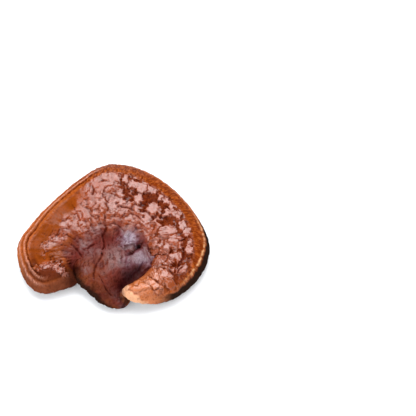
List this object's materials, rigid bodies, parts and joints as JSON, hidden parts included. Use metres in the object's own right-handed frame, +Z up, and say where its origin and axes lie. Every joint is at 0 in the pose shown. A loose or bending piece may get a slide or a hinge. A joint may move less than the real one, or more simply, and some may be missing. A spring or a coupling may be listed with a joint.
{
  "type": "reishi mushroom",
  "caption": "Dried bracket mushroom: a lacquered kidney-shaped cap whose lobes curl round a short side stem, lying on its flat pore surface.",
  "frame": {"origin": "middle of the footprint, on the surface that it lies on", "axes": "+X across the cap from the left lobe to the right lobe, +Y from the stem to the far rim, +Z up out of the cap's top"},
  "size_m": [0.1052, 0.0876, 0.0172],
  "materials": {
    "cap": "lacquer-like natural crust, glossy, with a dull pore surface underneath",
    "stem": "dull brown skin with a weak sheen"
  },
  "bodies": {
    "root": {"cap": "cap", "stem": "stem"}
  },
  "joints": []
}
